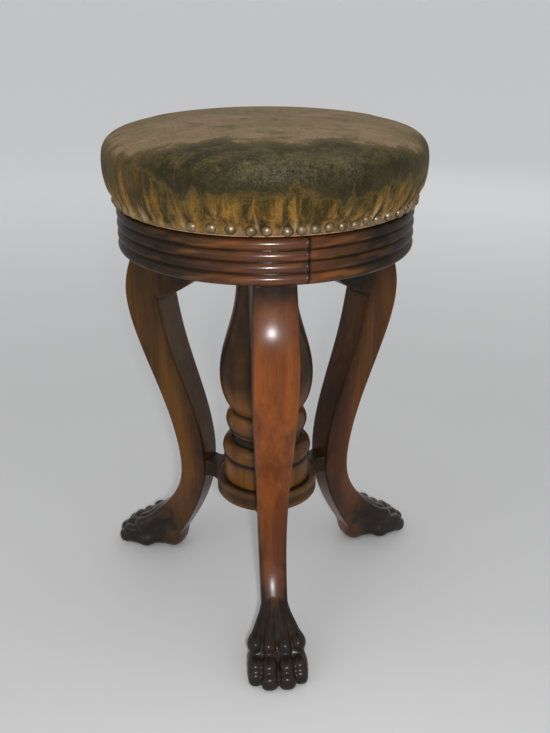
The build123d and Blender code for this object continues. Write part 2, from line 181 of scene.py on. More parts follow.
def arc_line(start, middle, end, steps):
    """Points along the circular arc through three points."""
    a, b, c = (np.array(p, float) for p in (start, middle, end))
    rows = 2 * np.array([b - a, c - a])
    centre = np.linalg.solve(rows, np.array([b @ b - a @ a, c @ c - a @ a]))
    radius = np.linalg.norm(a - centre)
    turns = np.unwrap([math.atan2(*(p - centre)[::-1]) for p in (a, b, c)])
    swept = np.linspace(turns[0], turns[2], steps)
    return centre + radius * np.stack([np.cos(swept), np.sin(swept)], axis=1)


def ease(low, high, value):
    """0 below low, 1 above high, and an even blend between; low may be the larger one."""
    share = np.clip((value - low) / (high - low), 0, 1)
    return share * share * (3 - 2 * share)


def bell(value):
    """1 at 0, and falling off evenly on both sides of it."""
    return np.exp(-(value**2))


def wave(count, turn, shift=0):
    """A sine with a number of waves in a full turn, shifted by some degrees."""
    return np.sin(np.radians(count * turn + shift))


def melt(a, b, size):
    """Joins two distance fields with a fillet of about that size."""
    near = np.maximum(size - np.abs(a - b), 0) / size
    return np.minimum(a, b) - near * near * size / 4


def rounded_overlap(a, b, radius):
    """The overlap of two distance fields, with their shared edge rounded."""
    corner = np.hypot(np.maximum(a + radius, 0), np.maximum(b + radius, 0))
    return np.minimum(np.maximum(a, b), -radius) + corner


def bar_field(grid, start, end, start_radius, end_radius):
    """Distance from a round bar whose radius changes evenly from end to end."""
    start = np.array(start, float)
    path = np.array(end, float) - start
    offset = [axis - place for axis, place in zip(grid, start)]
    share = np.clip(sum(o * p for o, p in zip(offset, path)) / (path @ path), 0, 1)
    gap = np.sqrt(sum((o - share * p) ** 2 for o, p in zip(offset, path)))
    return gap - (start_radius + (end_radius - start_radius) * share)


def ball_field(grid, centre, radii, power):
    """About the distance from an egg shape with three radii; a higher power squares it off."""
    parts = [np.abs(axis - c) / r for axis, c, r in zip(grid, centre, radii)]
    scaled = np.maximum(sum(part**power for part in parts), 1e-9) ** (1 / power)
    steep = np.sqrt(sum((part ** (power - 1) / r) ** 2 for part, r in zip(parts, radii)))
    return (scaled - 1) / np.maximum(steep * scaled ** (1 - power), 1e-3)


def outline_field(outline, across, up):
    """Signed distance from a closed outline over a grid, and which of its sides is nearest."""
    first = outline
    second = np.roll(outline, -1, axis=0)
    path = second - first
    length = np.maximum((path**2).sum(axis=1), 1e-12)
    rise = np.where(path[:, 1] == 0, 1e-12, path[:, 1])
    distance = np.empty((len(across), len(up)))
    nearest = np.empty(distance.shape, int)
    for column, reach in enumerate(across):
        part = np.stack([np.full(len(up), reach), up], axis=1)[:, None, :]
        share = np.clip(((part - first) * path).sum(axis=2) / length, 0, 1)
        gap = np.linalg.norm(part - first - share[..., None] * path, axis=2)
        above = (first[:, 1] > part[..., 1]) != (second[:, 1] > part[..., 1])
        crossing = first[:, 0] + (part[..., 1] - first[:, 1]) / rise * path[:, 0]
        inside = (above & (part[..., 0] < crossing)).sum(axis=1) % 2 == 1
        distance[column] = np.where(inside, -1, 1) * gap.min(axis=1)
        nearest[column] = gap.argmin(axis=1)
    return distance, nearest


def skin(values, low, cell):
    """Points and quads of a sampled field's zero surface, one point in each cell that it crosses."""
    solid = values < 0
    cells = tuple(count - 1 for count in values.shape)
    steps = np.eye(3, dtype=int)
    filled = np.zeros(cells, np.int8)
    for corner in cell_corners:
        filled += solid[tuple(slice(c, c + n) for c, n in zip(corner, cells))]
    crossed = np.argwhere((filled > 0) & (filled < len(cell_corners)))
    total = np.zeros((len(crossed), 3))
    hits = np.zeros(len(crossed))
    for corner, axis in cell_edges:
        here = values[tuple((crossed + corner).T)]
        there = values[tuple((crossed + corner + steps[axis]).T)]
        cut = (here < 0) != (there < 0)
        share = here / np.where(cut, here - there, 1)
        total += np.where(cut[:, None], corner + share[:, None] * steps[axis], 0)
        hits += cut
    points = low + cell * (crossed + total / hits[:, None])
    number = np.full(cells, -1)
    number[tuple(crossed.T)] = np.arange(len(crossed))
    quads = []
    for axis in range(3):
        side_a, side_b = steps[(axis + 1) % 3], steps[(axis + 2) % 3]
        inner = [slice(1, -1)] * 3
        inner[axis] = slice(0, -1)
        outer = list(inner)
        outer[axis] = slice(1, None)
        here, there = solid[tuple(inner)], solid[tuple(outer)]
        for found, order in ((here & ~there, 1), (there & ~here, -1)):
            node = np.argwhere(found) + side_a + side_b
            ring = [node - side_a - side_b, node - side_b, node, node - side_a][::order]
            quads.append(np.stack([number[tuple(r.T)] for r in ring], axis=1))
    return settle(points, values, low, cell), np.vstack(quads)


def settle(points, values, low, cell, rounds=3):
    """Moves points onto a sampled field's zero surface."""
    slopes = np.gradient(values, cell)
    limit = np.array(values.shape) - 2

    def read(field, place):
        base = np.clip(np.floor(place).astype(int), 0, limit)
        share = place - base
        result = 0
        for corner in cell_corners:
            weight = np.prod(np.where(corner, share, 1 - share), axis=1)
            result += weight * field[tuple((base + corner).T)]
        return result

    for _ in range(rounds):
        place = (points - low) / cell
        slope = np.stack([read(s, place) for s in slopes], axis=1)
        steep = np.maximum((slope**2).sum(axis=1), 0.2)
        points = points - slope * (read(values, place) / steep)[:, None]
    return points


class Net:
    """The edges between a mesh's points, for smoothing and for finding hollows."""

    def __init__(self, count, faces):
        sides = [np.stack([faces[:, i], faces[:, i - 1]], axis=1) for i in range(faces.shape[1])]
        pairs = np.unique(np.sort(np.vstack(sides), axis=1), axis=0)
        self.a, self.b = np.vstack([pairs, pairs[:, ::-1]]).T
        self.count = count
        self.uses = np.maximum(np.bincount(self.a, minlength=count), 1)

    def average(self, values):
        """The mean over each point's neighbours."""
        columns = values.reshape(self.count, -1).T
        sums = [np.bincount(self.a, weights=column[self.b], minlength=self.count) for column in columns]
        return (np.stack(sums, axis=1) / self.uses[:, None]).reshape(values.shape)

    def smooth(self, points, rounds, shrink=0.5, swell=0.53):
        """Evens out small ripples and keeps the size."""
        for _ in range(rounds):
            points = points + shrink * (self.average(points) - points)
            points = points - swell * (self.average(points) - points)
        return points

    def hollow(self, points, normals, rounds):
        """How far a much smoothed copy lies outside each point: above 0 in hollows, below 0 on edges."""
        soft = points
        for _ in range(rounds):
            soft = self.average(soft)
        return self.average(((soft - points) * normals).sum(axis=1))


def normals_of(points, faces):
    """Each point's outward direction."""
    corner = [points[faces[:, i]] for i in range(faces.shape[1])]
    face = np.cross(corner[2] - corner[0], corner[-1] - corner[1])
    total = np.zeros(points.shape)
    for i in range(faces.shape[1]):
        for axis in range(3):
            total[:, axis] += np.bincount(faces[:, i], weights=face[:, axis], minlength=len(points))
    return total / np.maximum(np.linalg.norm(total, axis=1), 1e-9)[:, None]


def turned_about_z(points, turn):
    """Points turned about the stool's axis by an angle in degrees."""
    c, s = math.cos(math.radians(turn)), math.sin(math.radians(turn))
    x, y, z = points.T
    return np.stack([c * x - s * y, s * x + c * y, z], axis=1)


def polar(points):
    """Each point's distance from the stool's axis, and its turn about it from 0 to 360 degrees."""
    x, y, _ = points.T
    return np.hypot(x, y), np.degrees(np.arctan2(y, x)) % 360


def new_object(name, data):
    """A new object in the scene."""
    made = bpy.data.objects.new(name, data)
    scene.collection.objects.link(made)
    return made


def new_mesh(name, points, faces):
    """A mesh with its points given in millimetres."""
    mesh = bpy.data.meshes.new(name)
    mesh.from_pydata((np.asarray(points) * mm).tolist(), [], [list(face) for face in faces])
    return mesh


def add_piece(name, points, faces, replaced, layers, body="base", slot="mahogany"):
    """A mesh piece in its slot's material, which rides on a body and stands for CAD nodes."""
    mesh = new_mesh(name, points, faces)
    for layer, values in layers.items():
        values = np.asarray(values, np.float32)
        kind, part = ("FLOAT_VECTOR", "vector") if values.ndim == 2 else ("FLOAT", "value")
        mesh.attributes.new(layer, kind, "POINT").data.foreach_set(part, values.ravel())
    mesh.shade_smooth()
    mesh.update()
    mesh.materials.append(materials[slot])
    piece = new_object(name, mesh)
    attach(piece, body)
    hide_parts(*replaced)
    return piece


class Nodes:
    """Builds a material's node tree from short calls."""

    def __init__(self, name):
        self.material = bpy.data.materials.new(name)
        self.material.use_nodes = True
        self.tree = self.material.node_tree
        self.plus = partial(self.math, "ADD")
        self.less = partial(self.math, "SUBTRACT")
        self.times = partial(self.math, "MULTIPLY")

    def add(self, kind, inputs=None, **settings):
        """A node with its settings, and its inputs set to values or linked to outputs."""
        node = self.tree.nodes.new(kind)
        for key, value in settings.items():
            setattr(node, key, value)
        for key, value in (inputs or {}).items():
            self.put(node, key, value)
        return node

    def put(self, node, key, value):
        """Sets an input, or links it if the value is an output of another node."""
        if isinstance(value, bpy.types.NodeSocket):
            self.tree.links.new(value, node.inputs[key])
        else:
            node.inputs[key].default_value = value

    def place(self):
        """Where a point lies in its object."""
        return self.add("ShaderNodeTexCoord").outputs["Object"]

    def layers(self, *names):
        """Numbers that the mesh carries."""
        return [self.add("ShaderNodeAttribute", attribute_name=name).outputs["Fac"] for name in names]

    def noise(self, vector, scale, detail=3, roughness=0.55, distortion=0):
        """Soft noise from 0 to 1, stretched where the scale has a number for each axis."""
        if isinstance(scale, tuple):
            stretch = self.add("ShaderNodeVectorMath", {0: vector, 1: scale}, operation="MULTIPLY")
            vector, scale = stretch.outputs[0], 1
        inputs = dict(Vector=vector, Scale=scale, Detail=detail, Roughness=roughness)
        inputs["Distortion"] = distortion
        return self.add("ShaderNodeTexNoise", inputs).outputs["Fac"]

    def math(self, operation, a, b, clamp=False):
        """A sum, product or other reckoning of two numbers."""
        return self.add("ShaderNodeMath", {0: a, 1: b}, operation=operation, use_clamp=clamp).outputs[0]

    def span(self, value, low, high, to_low=0, to_high=1):
        """A number moved from one range to another, with soft ends."""
        inputs = {"Value": value, "From Min": low, "From Max": high, "To Min": to_low, "To Max": to_high}
        return self.add("ShaderNodeMapRange", inputs, interpolation_type="SMOOTHSTEP").outputs[0]

    def mix(self, share, a, b, blend="MIX"):
        """A blend of two colours."""
        node = self.add("ShaderNodeMix", data_type="RGBA", blend_type=blend, clamp_factor=True)
        self.put(node, 0, share)
        for key, value in ((6, a), (7, b)):
            self.put(node, key, (*value, 1) if isinstance(value, tuple) else value)
        return node.outputs[2]

    def bump(self, height, distance, strength):
        """A surface that rises and falls with a number."""
        inputs = dict(Height=height, Distance=distance, Strength=strength)
        return self.add("ShaderNodeBump", inputs).outputs[0]

    def finish(self, **sockets):
        """Sets the shader's sockets; spaces in their names are written as underscores."""
        for key, value in sockets.items():
            self.put(self.tree.nodes["Principled BSDF"], key.replace("_", " "), value)
        return self.material


def mahogany():
    """French-polished mahogany with layers for grain, darkening (dark hollows and painted shade), worn
    edges, red tone and gloss.
    """
    made = Nodes("polished_mahogany")
    mix, span, noise, plus, times = made.mix, made.span, made.noise, made.plus, made.times
    grain = made.add("ShaderNodeAttribute", attribute_name="grain").outputs["Vector"]
    patina_and_shade, wear, tone, gloss = made.layers("patina_and_shade", "wear", "tone", "gloss")
    figure = noise(grain, (42, 42, 3.5), 3, 0.5, 0.6)
    streak = noise(grain, (230, 230, 6), 4, 0.6, 0.2)
    pores = noise(grain, (1500, 1500, 60), 2, 0.5)
    cloud = noise(grain, 16, 3, 0.55)
    fine_cloud = noise(grain, 75, 4, 0.6)
    figured = span(figure, 0.3, 0.72)
    golden = mix(figured, (0.074, 0.029, 0.003), (0.215, 0.084, 0.006))
    red = mix(figured, (0.125, 0.03, 0.005), (0.222, 0.056, 0.009))
    colour = mix(tone, golden, red)
    colour = mix(span(streak, 0.52, 0.8, 0, 0.35), colour, (0.3, 0.11, 0.02))
    colour = mix(span(streak, 0.48, 0.25, 0, 0.5), colour, (0.04, 0.014, 0.007))
    colour = mix(span(pores, 0.62, 0.74, 0, 0.38), colour, (0.02, 0.008, 0.005))
    # Darkening: dark hollows and patchy dirt, and painted shade on flanks, backs, the ring's sides and
    # under the ring
    grime_and_shade = times(patina_and_shade, span(fine_cloud, 0.3, 0.7, 0.93, 1.06))
    grime_and_shade = plus(grime_and_shade, span(cloud, 0.5, 0.78, 0, 0.16), clamp=True)
    colour = mix(grime_and_shade, colour, (0.013, 0.0095, 0.0065))
    colour = mix(times(wear, span(cloud, 0.35, 0.62)), colour, (0.3, 0.13, 0.05))
    rough = span(cloud, 0.3, 0.7, 0.36, 0.5)
    height = plus(times(pores, 0.35), noise(grain, 90, 2, 0.5))
    polish = plus(span(grime_and_shade, 0.4, 0.95, 0.3, 0.11), times(gloss, 0.42))
    return made.finish(
        Base_Color=colour, Roughness=rough, Normal=made.bump(height, 0.0003, 0.2),
        Specular_IOR_Level=0.07, Coat_Weight=polish, Coat_Roughness=0.21,
    )


def plain_wood():
    """Bare planed wood of the inner boards and dowels."""
    made = Nodes("bare_wood")
    place = made.place()
    rings = made.noise(place, (6, 90, 90), 4, 0.6, 0.4)
    pores = made.noise(place, (70, 1400, 1400), 2)
    colour = made.mix(made.span(rings, 0.3, 0.7), (0.23, 0.135, 0.066), (0.42, 0.28, 0.155))
    colour = made.mix(made.span(pores, 0.6, 0.75, 0, 0.5), colour, (0.12, 0.065, 0.03))
    rough = made.span(rings, 0.3, 0.7, 0.6, 0.78)
    return made.finish(Base_Color=colour, Roughness=rough, Normal=made.bump(pores, 0.0002, 0.4))


def metal(name, dark, light, low_rough, high_rough, metallic, grain_scale):
    """A metal with cloudy tarnish and a fine uneven surface."""
    made = Nodes(name)
    place = made.place()
    cloud = made.noise(place, grain_scale, 4, 0.6)
    fine = made.noise(place, grain_scale * 14, 2)
    colour = made.mix(made.span(cloud, 0.35, 0.68), dark, light)
    rough = made.span(cloud, 0.3, 0.7, high_rough, low_rough)
    normal = made.bump(fine, 0.0002, 0.35)
    return made.finish(Base_Color=colour, Roughness=rough, Metallic=metallic, Normal=normal)


def velvet():
    """Worn cut velvet: a tan top, partly rubbed and partly painted sheen, a band of painted shade on the
    pile by the front edge, golden gathers with painted highlights on their folds and painted shade in
    their creases, and a faded hem.
    """
    made = Nodes("worn_velvet")
    mix, span, noise = made.mix, made.span, made.noise
    plus, less, times = made.plus, made.less, made.times
    place = made.place()
    fold_light_and_shade, flame, painted_pile_shade, crown = made.layers("fold_light_and_shade", "lick", "painted_pile_shade", "crown")
    rubbed, hem, blush = made.layers("rubbed", "hem", "blush")
    blotch = noise(place, 15, 4, 0.6, 0.4)
    mottle = noise(place, (38, 75, 60), 4, 0.65, 0.5)
    brush = noise(place, (150, 150, 17), 4, 0.6, 0.5)
    speck = noise(place, 210, 6, 0.8)
    grain = noise(place, 620, 3, 0.7)
    pile = noise(place, 1700, 2, 0.6)
    # The top's pale tan: worn pile, and painted sheen of the pile seen at a grazing angle
    top = mix(span(blotch, 0.35, 0.65), (0.2, 0.138, 0.068), (0.27, 0.18, 0.108))
    top = mix(span(mottle, 0.42, 0.72, 0, 0.55), top, (0.105, 0.088, 0.036))
    top = mix(span(mottle, 0.45, 0.2, 0, 0.4), top, (0.34, 0.256, 0.155))
    top = mix(span(speck, 0.5, 0.72, 0, 0.45), top, (0.12, 0.098, 0.046))
    tongue = plus(times(flame, 0.3), brush)
    side = mix(span(tongue, 0.46, 0.92), (0.036, 0.025, 0.007), (0.25, 0.13, 0.026))
    side = mix(span(blotch, 0.5, 0.72, 0, 0.4), side, (0.07, 0.052, 0.02))
    higher = span(crown, 0.1, 0.9, 0.35, 1)
    # The band's colours: painted shade on the pile where it is seen head-on
    band = mix(times(span(mottle, 0.36, 0.66), higher), (0.017, 0.0145, 0.007), (0.072, 0.056, 0.021))
    band = mix(times(span(brush, 0.5, 0.76, 0, 0.6), higher), band, (0.145, 0.104, 0.032))
    thin = times(times(rubbed, span(speck, 0.3, 0.68)), span(grain, 0.3, 0.7, 0.3, 0.85))
    band = mix(thin, band, (0.15, 0.128, 0.078))
    colour = mix(crown, side, top)
    # Where the band of painted shade lies, with ragged edges and a golden fringe
    ragged = plus(painted_pile_shade, times(less(brush, 0.5), 0.8))
    ragged = plus(ragged, times(less(mottle, 0.5), 1.9))
    ragged = less(ragged, times(flame, 0.45))
    share = span(ragged, 0.12, 0.82)
    fringe = times(share, less(1, share))
    colour = mix(times(fringe, 3), colour, (0.122, 0.08, 0.022))
    colour = mix(share, colour, band)
    # Painted highlights on the folds, then painted shade in the creases and above the nails
    lit = times(span(fold_light_and_shade, 0.12, 0.95), span(brush, 0.25, 0.6, 0.55, 1))
    colour = mix(lit, colour, (0.36, 0.255, 0.14))
    colour = mix(span(fold_light_and_shade, -0.08, -0.8, 0, 0.75), colour, (0.028, 0.017, 0.006))
    faded = times(hem, span(mottle, 0.32, 0.6, 0.15, 0.75))
    colour = mix(faded, colour, mix(blush, (0.215, 0.15, 0.078), (0.3, 0.16, 0.112)))
    colour = mix(1, colour, span(grain, 0.28, 0.72, 0.72, 1.28), "MULTIPLY")
    colour = mix(span(pile, 0.3, 0.75, 0, 0.2), colour, (0.02, 0.017, 0.008))
    height = plus(times(speck, 0.6), times(pile, 0.5))
    return made.finish(
        Base_Color=colour, Roughness=0.92, Normal=made.bump(height, 0.0009, 0.45),
        Specular_IOR_Level=0.1, Sheen_Weight=0.1, Sheen_Roughness=0.5, Sheen_Tint=(0.75, 0.66, 0.45, 1),
    )


def stuffing_fibre():
    """Curled fibre inside the seat."""
    made = Nodes("stuffing_fibre")
    curl = made.noise(made.place(), 260, 4, 0.7, 2)
    colour = made.mix(made.span(curl, 0.35, 0.65), (0.15, 0.105, 0.06), (0.38, 0.3, 0.2))
    return made.finish(Base_Color=colour, Roughness=0.95, Normal=made.bump(curl, 0.002, 0.6))


def pale_floor():
    """Plain pale floor."""
    made = Nodes("pale_floor")
    place = made.place()
    away = made.add("ShaderNodeVectorMath", {0: place}, operation="LENGTH").outputs["Value"]
    near = made.mix(made.noise(place, 3), (0.62, 0.62, 0.62), (0.66, 0.66, 0.66))
    colour = made.mix(made.span(away, 0.4, 2.4), near, (0.92, 0.92, 0.92))
    return made.finish(Base_Color=colour, Roughness=0.85, Specular_IOR_Level=0.2)


def leg_side_field(reaches, heights):
    """Signed distance from the leg's side outline, and 1 where its front line is nearest."""
    front = smooth_line(leg_front_line, 420)
    sole = [(front[-1, 0], sole_height)]
    heel = smooth_line(leg_heel_line, 120)
    back = smooth_line(leg_back_line, 200, *leg_back_ends)[::-1]
    arm = arc_line(*leg_arm_line, 90)[1:]
    top = [(leg_arm_line[-1][0], ring_bottom)]
    outline = np.vstack([front, sole, heel, back, arm, top])
    distance, nearest = outline_field(outline, reaches, heights)
    return distance, (nearest < len(front) - 1).astype(float)


def toe_field(grid, side, toe):
    """One toe: a ray from the wrist, a knuckle, a joint, a blunt claw and the pad under them."""
    offset, half_width, *spots = toe
    wrist, knuckle, joint, claw = [
        (reach, side * offset * gather, height) for (reach, height), gather in zip(spots, toe_gathers)
    ]
    pad = (knuckle[0] - 4, knuckle[1], 9 - floor_sink)
    field = bar_field(grid, wrist, knuckle, toe_ray_radius, half_width - 0.3)
    for place, (along, wider, up, power, fillet) in zip((knuckle, joint, claw), toe_balls):
        field = melt(field, ball_field(grid, place, (along, half_width + wider, up), power), fillet)
    return melt(field, bar_field(grid, pad, claw, half_width + 0.4, half_width - 1.4), 2)


def paw_field(grid):
    """The paw's four toes with the body behind them, and its heel."""
    paw = bar_field(grid, (138, 0, 38), (163, 0, 14), 11, 13)
    for side in (-1, 1):
        for toe in (outer_toe, inner_toe):
            paw = melt(paw, toe_field(grid, side, toe), toe_melt)
        for offset, reach, radius in toe_gaps:
            aside = side * offset
            back = bar_field(grid, (137, aside * 0.33, 41.5), (160, aside * 0.9, 22.6), 10, 9.4)
            web = bar_field(grid, (160, aside * 0.9, 21.6), (reach, aside, 8.4), 9, radius)
            paw = melt(melt(paw, back, 1), web, 1)
    low = heel_radius - floor_sink
    heel = bar_field(grid, (heel_reach, -2, low), (heel_reach, 2, low), heel_radius, heel_radius)
    for side in (-1, 1):
        flank = bar_field(grid, (heel_reach + 4, side * 5, 14), (158, side * 18, 9.5), 11.5, 9.2)
        hollow = bar_field(grid, (134, side * 6, 27), (162, side * 17.5, 16), 10.5, 9.5)
        heel = melt(melt(heel, flank, 3), hollow, 4)
    return paw, heel


def leg_mesh():
    """One leg pointing along +X, as points and quads, with its hollows."""
    low = np.array([41, -36, -3])
    counts = (np.array([201, 36, ring_bottom + 3]) - low) / leg_cell
    axes = [start + leg_cell * np.arange(int(count) + 1) for start, count in zip(low, counts)]
    side, front = leg_side_field(axes[0], axes[2])
    half_width = smooth_line(leg_half_widths, 400)
    half_width = np.interp(axes[2], half_width[:, 0], half_width[:, 1])
    across = np.abs(axes[1])[:, None] - half_width
    crown = leg_crown * (axes[1][:, None] / half_width) ** 2
    lengthwise = side[:, None, :] + front[:, None, :] * crown
    field = rounded_overlap(lengthwise, across, leg_edge_round)
    foot = axes[2] < paw_top
    grid = np.meshgrid(axes[0], axes[1], axes[2][foot], indexing="ij")
    paw, heel = paw_field(grid)
    lower = melt(melt(field[:, :, foot], heel, ankle_melt), paw, ray_melt)
    reach, aside, height = grid
    carved = toe_line_depth * ease(128, 150, reach) * ease(10, 17, height)
    carved *= ease(78, 62, height) * ease(0, 30, reach - 150 + height)
    for line in toe_lines:
        off = (aside - np.interp(reach, toe_line_reaches, line)) / toe_line_width
        lower += carved * bell(off)
    field[:, :, foot] = np.maximum(lower, -height)
    points, quads = skin(field, low, leg_cell)
    net = Net(len(points), quads)
    points = net.smooth(points, 4)
    points[:, 2] = np.maximum(points[:, 2], 0)
    return points, quads, net.hollow(points, normals_of(points, quads), 14)


def add_legs():
    """The three carved legs, each of its own tone, painted shadow under the ring, painted shade on faces
    turned from the light, and sheen.
    """
    points, quads, hollow = leg_mesh()
    reach, _, height = points.T
    normals = normals_of(points, quads)
    facing = np.abs(normals[:, 1])
    above_paw = ease(50, 100, height)
    flank = ease(0.55, 0.9, facing) * above_paw
    back = ease(0.3, 0.7, -normals[:, 0]) * above_paw
    wrist = ease(125, 75, height)
    toes = ease(48, 26, height)
    inward = ease(0, -26, reach - np.interp(height, [0, 113, 206, 326], [150, 95, 110, 140]))
    front_foot = 0.6 * ease(80, 45, height) + 0.4 * ease(165, 85, height)
    rear_foot = ease(100, 40, height) * (0.44 + 0.43 * ease(108, 160, reach))
    lower_edge = ease(0.06, 0.3, facing) * (1 - flank) * ease(220, 130, height)
    # Painted shadow under the ring, on the tops and arms of the legs
    ring_shadow = 0.55 * ease(ring_bottom - 26, ring_bottom - 4, height)
    ring_shadow += 0.42 * ease(ring_bottom - 86, ring_bottom - 30, height)
    # Painted shade on faces turned from the light (flanks, backs, inner sides, side edges low on the
    # leg), plus dark hollows
    shade_and_hollows = 0.48 * flank + 0.36 * inward * above_paw + 0.4 * back + 0.3 * lower_edge
    shade_and_hollows += 1.1 * np.clip(hollow, 0, 1)
    wear = 0.05 * ease(0.35, 0.8, -hollow) * (1 - 0.85 * ease(110, 60, height))
    # Each leg's red share, foot darkness, share of the painted shadow under the ring, and gloss on its
    # back, wrist and toes
    looks = {
        "front": (0.95, front_foot, 1, 0, 0.12, 0.5),
        "right": (0.4, rear_foot, 0.8, 0, 0.6, 0.5),
        "left": (0, rear_foot, 0.3, 0.6, 0.6, 0.3),
    }
    for number, (name, turn) in enumerate(leg_turns.items()):
        red, foot_dark, ring_shadow_share, back_gloss, wrist_gloss, toe_gloss = looks[name]
        layers = {
            "grain": (points + np.array([7, 31, 430]) * (number + 1)) * mm,
            "patina_and_shade": np.clip(foot_dark + ring_shadow_share * ring_shadow + shade_and_hollows, 0, 1),
            "wear": wear,
            "tone": np.clip(red + 0.3 * ease(260, 160, height) * (name != "front"), 0, 1),
            "gloss": back_gloss * back + wrist_gloss * wrist + toe_gloss * toes,
        }
        turned = turned_about_z(points, turn)
        add_piece("carved_leg_" + name, turned, quads, ["leg_" + name], layers)


def lathe(outline, start, sweep, steps):
    """Points and quads of a closed outline of (radius, height) points swept about the stool's axis."""
    closed = abs(sweep) >= 360
    turns = np.radians(start + np.linspace(0, sweep, steps, endpoint=not closed))
    radius, height = outline.T
    rows = np.outer(np.cos(turns), radius), np.outer(np.sin(turns), radius), np.tile(height, (steps, 1))
    here = np.arange(steps * len(outline)).reshape(steps, -1)
    there = np.roll(here, -1, axis=0)
    quads = np.stack([here, there, np.roll(there, -1, axis=1), np.roll(here, -1, axis=1)], axis=2)
    quads = quads[:steps if closed else -1]
    return np.stack(rows, axis=2).reshape(-1, 3), quads.reshape(-1, 4)


def dressed(points, quads, rounds, hollow_gain, grain, tone, dark, darkest, worn=0.3):
    """The mahogany's layers: grain, darkening from hollows plus a given darkness (in places painted
    shade), wear from edges, and tone.
    """
    hollow = Net(len(points), quads).hollow(points, normals_of(points, quads), rounds)
    return {
        "grain": grain * mm,
        "patina_and_shade": np.clip(np.clip(hollow_gain * hollow, 0, 0.9) + dark, 0, darkest),
        "wear": worn * ease(0.25, 0.7, -hollow),
        "tone": np.full(len(points), tone),
    }


def even(outline, gap):
    """An outline with its points spread evenly, about gap apart."""
    closed = np.vstack([outline, outline[:1]])
    along = np.r_[0, np.cumsum(np.linalg.norm(np.diff(closed, axis=0), axis=1))]
    place = np.linspace(0, along[-1], int(along[-1] / gap), endpoint=False)
    return np.stack([np.interp(place, along, closed[:, i]) for i in (0, 1)], axis=1)


def column_outline():
    """Cross-section of the turned column, from its foot to the ring."""
    drum_top = disc_top + 25.5
    collar_top = drum_top + 21.5
    bead_bottom = collar_top + 9
    fillet_top = bead_bottom + 3.5
    waist = fillet_top + 21
    belly = [
        (36, waist), (49.3, waist + 49), (43.5, waist + 78),
        (31.3, ring_bottom - 55), (42, ring_bottom - 15),
    ]
    parts = [
        [(20, disc_top), (46.2, disc_top)],
        [(47, disc_top + 0.8), (47, drum_top - 0.6)],
        [(46.4, drum_top), (45.4, drum_top), (45.4, drum_top + 1.6)],
        arc_line((45.4, drum_top + 1.6), (48, drum_top + 8.2), (38, collar_top), 24),
        arc_line((38, collar_top), (36.4, collar_top + 4.5), (38, bead_bottom), 14),
        [(40.6, bead_bottom), (41, bead_bottom + 0.4), (41, fillet_top)],
        arc_line((41, fillet_top), (43.7, fillet_top + 10.5), (36, waist), 24),
        smooth_line(belly, 120, (1, 1), (1, 0.5)),
        [(42, ring_bottom - 0.2), (20, ring_bottom - 0.2)],
    ]
    return np.vstack(parts)


def add_column():
    """The turned column, dark but for the lower belly, the drum and in part the collar."""
    points, quads = lathe(even(column_outline(), 1.6), 0, 360, 132)
    height = points[:, 2] - disc_top
    belly = ease(60, 84, height) * ease(128, 92, height)
    drum = ease(27, 18, height)
    collar = 0.55 * ease(27, 34, height) * ease(48, 40, height)
    dark = 0.8 - 0.68 * np.maximum(np.maximum(belly, drum), collar)
    layers = dressed(points, quads, 10, 1.5, points + [0, 0, 2000], 0.2, dark, 0.95, 0.21)
    add_piece("turned_column", points, quads, ["column"], layers)


def add_disc():
    """The round board under the column."""
    radius, inner, soft = 55, 6, 2.5
    corner = np.linspace(0, math.pi / 2, 8)
    out, up = radius - soft + soft * np.sin(corner), soft - soft * np.cos(corner)
    low = np.stack([out, disc_bottom + up], axis=1)
    high = np.stack([out, disc_top - up], axis=1)[::-1]
    outline = np.vstack([[(inner, disc_bottom)], low, high, [(inner, disc_top)]])
    points, quads = lathe(even(outline, 1.6), 0, 360, 132)
    dark = 0.66 + 0.3 * ease(disc_top - 2.5, disc_top - 0.8, points[:, 2])
    layers = dressed(points, quads, 8, 1.2, points[:, [1, 2, 0]] + [0, 0, 3000], 0.1, dark, 0.97)
    add_piece("round_base_board", points, quads, ["base_disc"], layers)


def ring_outline():
    """Cross-section of the reeded ring."""
    reed = (ring_top - ring_bottom) / reed_count
    groove = ring_outer - reed_depth
    parts = []
    for number in range(reed_count):
        low = ring_bottom + number * reed
        parts.append(arc_line((groove, low), (ring_outer, low + reed / 2), (groove, low + reed), 15))
    parts.append([(ring_inner + 0.8, ring_top), (ring_inner, ring_top - 0.8), (ring_inner, ring_bottom)])
    return np.vstack(parts)


def add_ring():
    """The reeded ring in its three segments, with a hairline at each joint."""
    seam = 11.5
    hairline = 0.055
    steps = 110
    third = 360 / len(leg_turns)
    outline = even(ring_outline(), 1)
    count = len(outline)
    for number, (name, turn) in enumerate(zip(("right", "back", "left"), leg_turns.values())):
        points, quads = lathe(outline, turn + seam + hairline, third - 2 * hairline, steps)
        radius, turns = polar(points)
        swept = np.radians(np.repeat(np.linspace(0, third, steps), count))
        grain = np.stack([radius, points[:, 2], swept * ring_outer + 700 * (number + 1)], axis=1)
        off_front = np.abs((turns + 90 + 180) % 360 - 180)
        tone = 0.1 + 0.75 * ease(38, 8, off_front)
        ends = np.minimum(swept, math.radians(third) - swept) * ring_outer
        height = points[:, 2] - ring_bottom
        reed = np.floor(height / (ring_top - ring_bottom) * reed_count)
        wisps = sum(np.sin(swept * along + height * up + reed * 2.1 + along) for along, up in ring_wisps)
        wisps /= len(ring_wisps)
        # Dark at the segment ends; painted shade darkens the ring away from its front, where the light
        # falls, and lighter wisps of figure show only near the front
        dark = 0.4 * ease(0.9, 0.1, ends) + 0.55 + 0.4 * ease(6, 46, off_front)
        dark -= 0.4 * ease(0.05, 0.6, wisps) * ease(62, 36, off_front)
        layers = dressed(points, quads, 4, 3.2, grain, tone, dark, 0.95, 0.15)
        layers["gloss"] = 0.55 * ease(46, 6, off_front) + 0.7 * bell(off_front / 10)
        numbers = list(range(len(points)))
        faces = quads.tolist() + [numbers[:count][::-1], numbers[-count:]]
        add_piece("reeded_segment_" + name, points, faces, ["apron_segment_" + name], layers)


